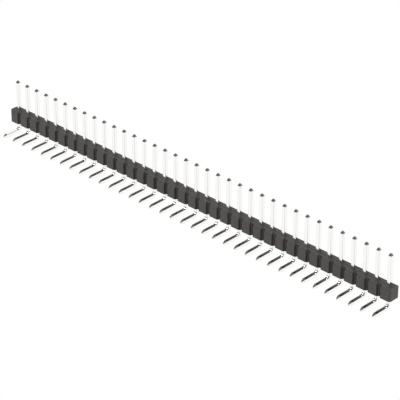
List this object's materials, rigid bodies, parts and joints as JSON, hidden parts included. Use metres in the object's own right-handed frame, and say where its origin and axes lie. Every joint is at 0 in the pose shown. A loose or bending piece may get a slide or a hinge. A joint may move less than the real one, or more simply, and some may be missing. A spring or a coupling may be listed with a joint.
{
  "type": "right-angle pin header strip",
  "caption": "Snap-off strip of right-angle header pins: square wire pins pressed through a notched moulded insulator, tails bent to enter a circuit board.",
  "frame": {"origin": "middle of the row of solder tails, in the plane of the circuit board's surface that the strip's board face sits on", "axes": "+X along the row of contacts, +Z in the mating direction along the straight pins, -Y into the circuit board along the solder tails"},
  "size_m": [0.0912, 0.0053, 0.0105],
  "materials": {
    "insulator": "moulded black plastic with a soft sheen",
    "pin_metal": "bright tin plating over square brass wire"
  },
  "bodies": {
    "root": {"insulator_strip": "insulator", "pin_01": "pin_metal", "pin_02": "pin_metal", "pin_03": "pin_metal", "pin_04": "pin_metal", "pin_05": "pin_metal", "pin_06": "pin_metal", "pin_07": "pin_metal", "pin_08": "pin_metal", "pin_09": "pin_metal", "pin_10": "pin_metal", "pin_11": "pin_metal", "pin_12": "pin_metal", "pin_13": "pin_metal", "pin_14": "pin_metal", "pin_15": "pin_metal", "pin_16": "pin_metal", "pin_17": "pin_metal", "pin_18": "pin_metal", "pin_19": "pin_metal", "pin_20": "pin_metal", "pin_21": "pin_metal", "pin_22": "pin_metal", "pin_23": "pin_metal", "pin_24": "pin_metal", "pin_25": "pin_metal", "pin_26": "pin_metal", "pin_27": "pin_metal", "pin_28": "pin_metal", "pin_29": "pin_metal", "pin_30": "pin_metal", "pin_31": "pin_metal", "pin_32": "pin_metal", "pin_33": "pin_metal", "pin_34": "pin_metal", "pin_35": "pin_metal", "pin_36": "pin_metal"}
  },
  "joints": []
}
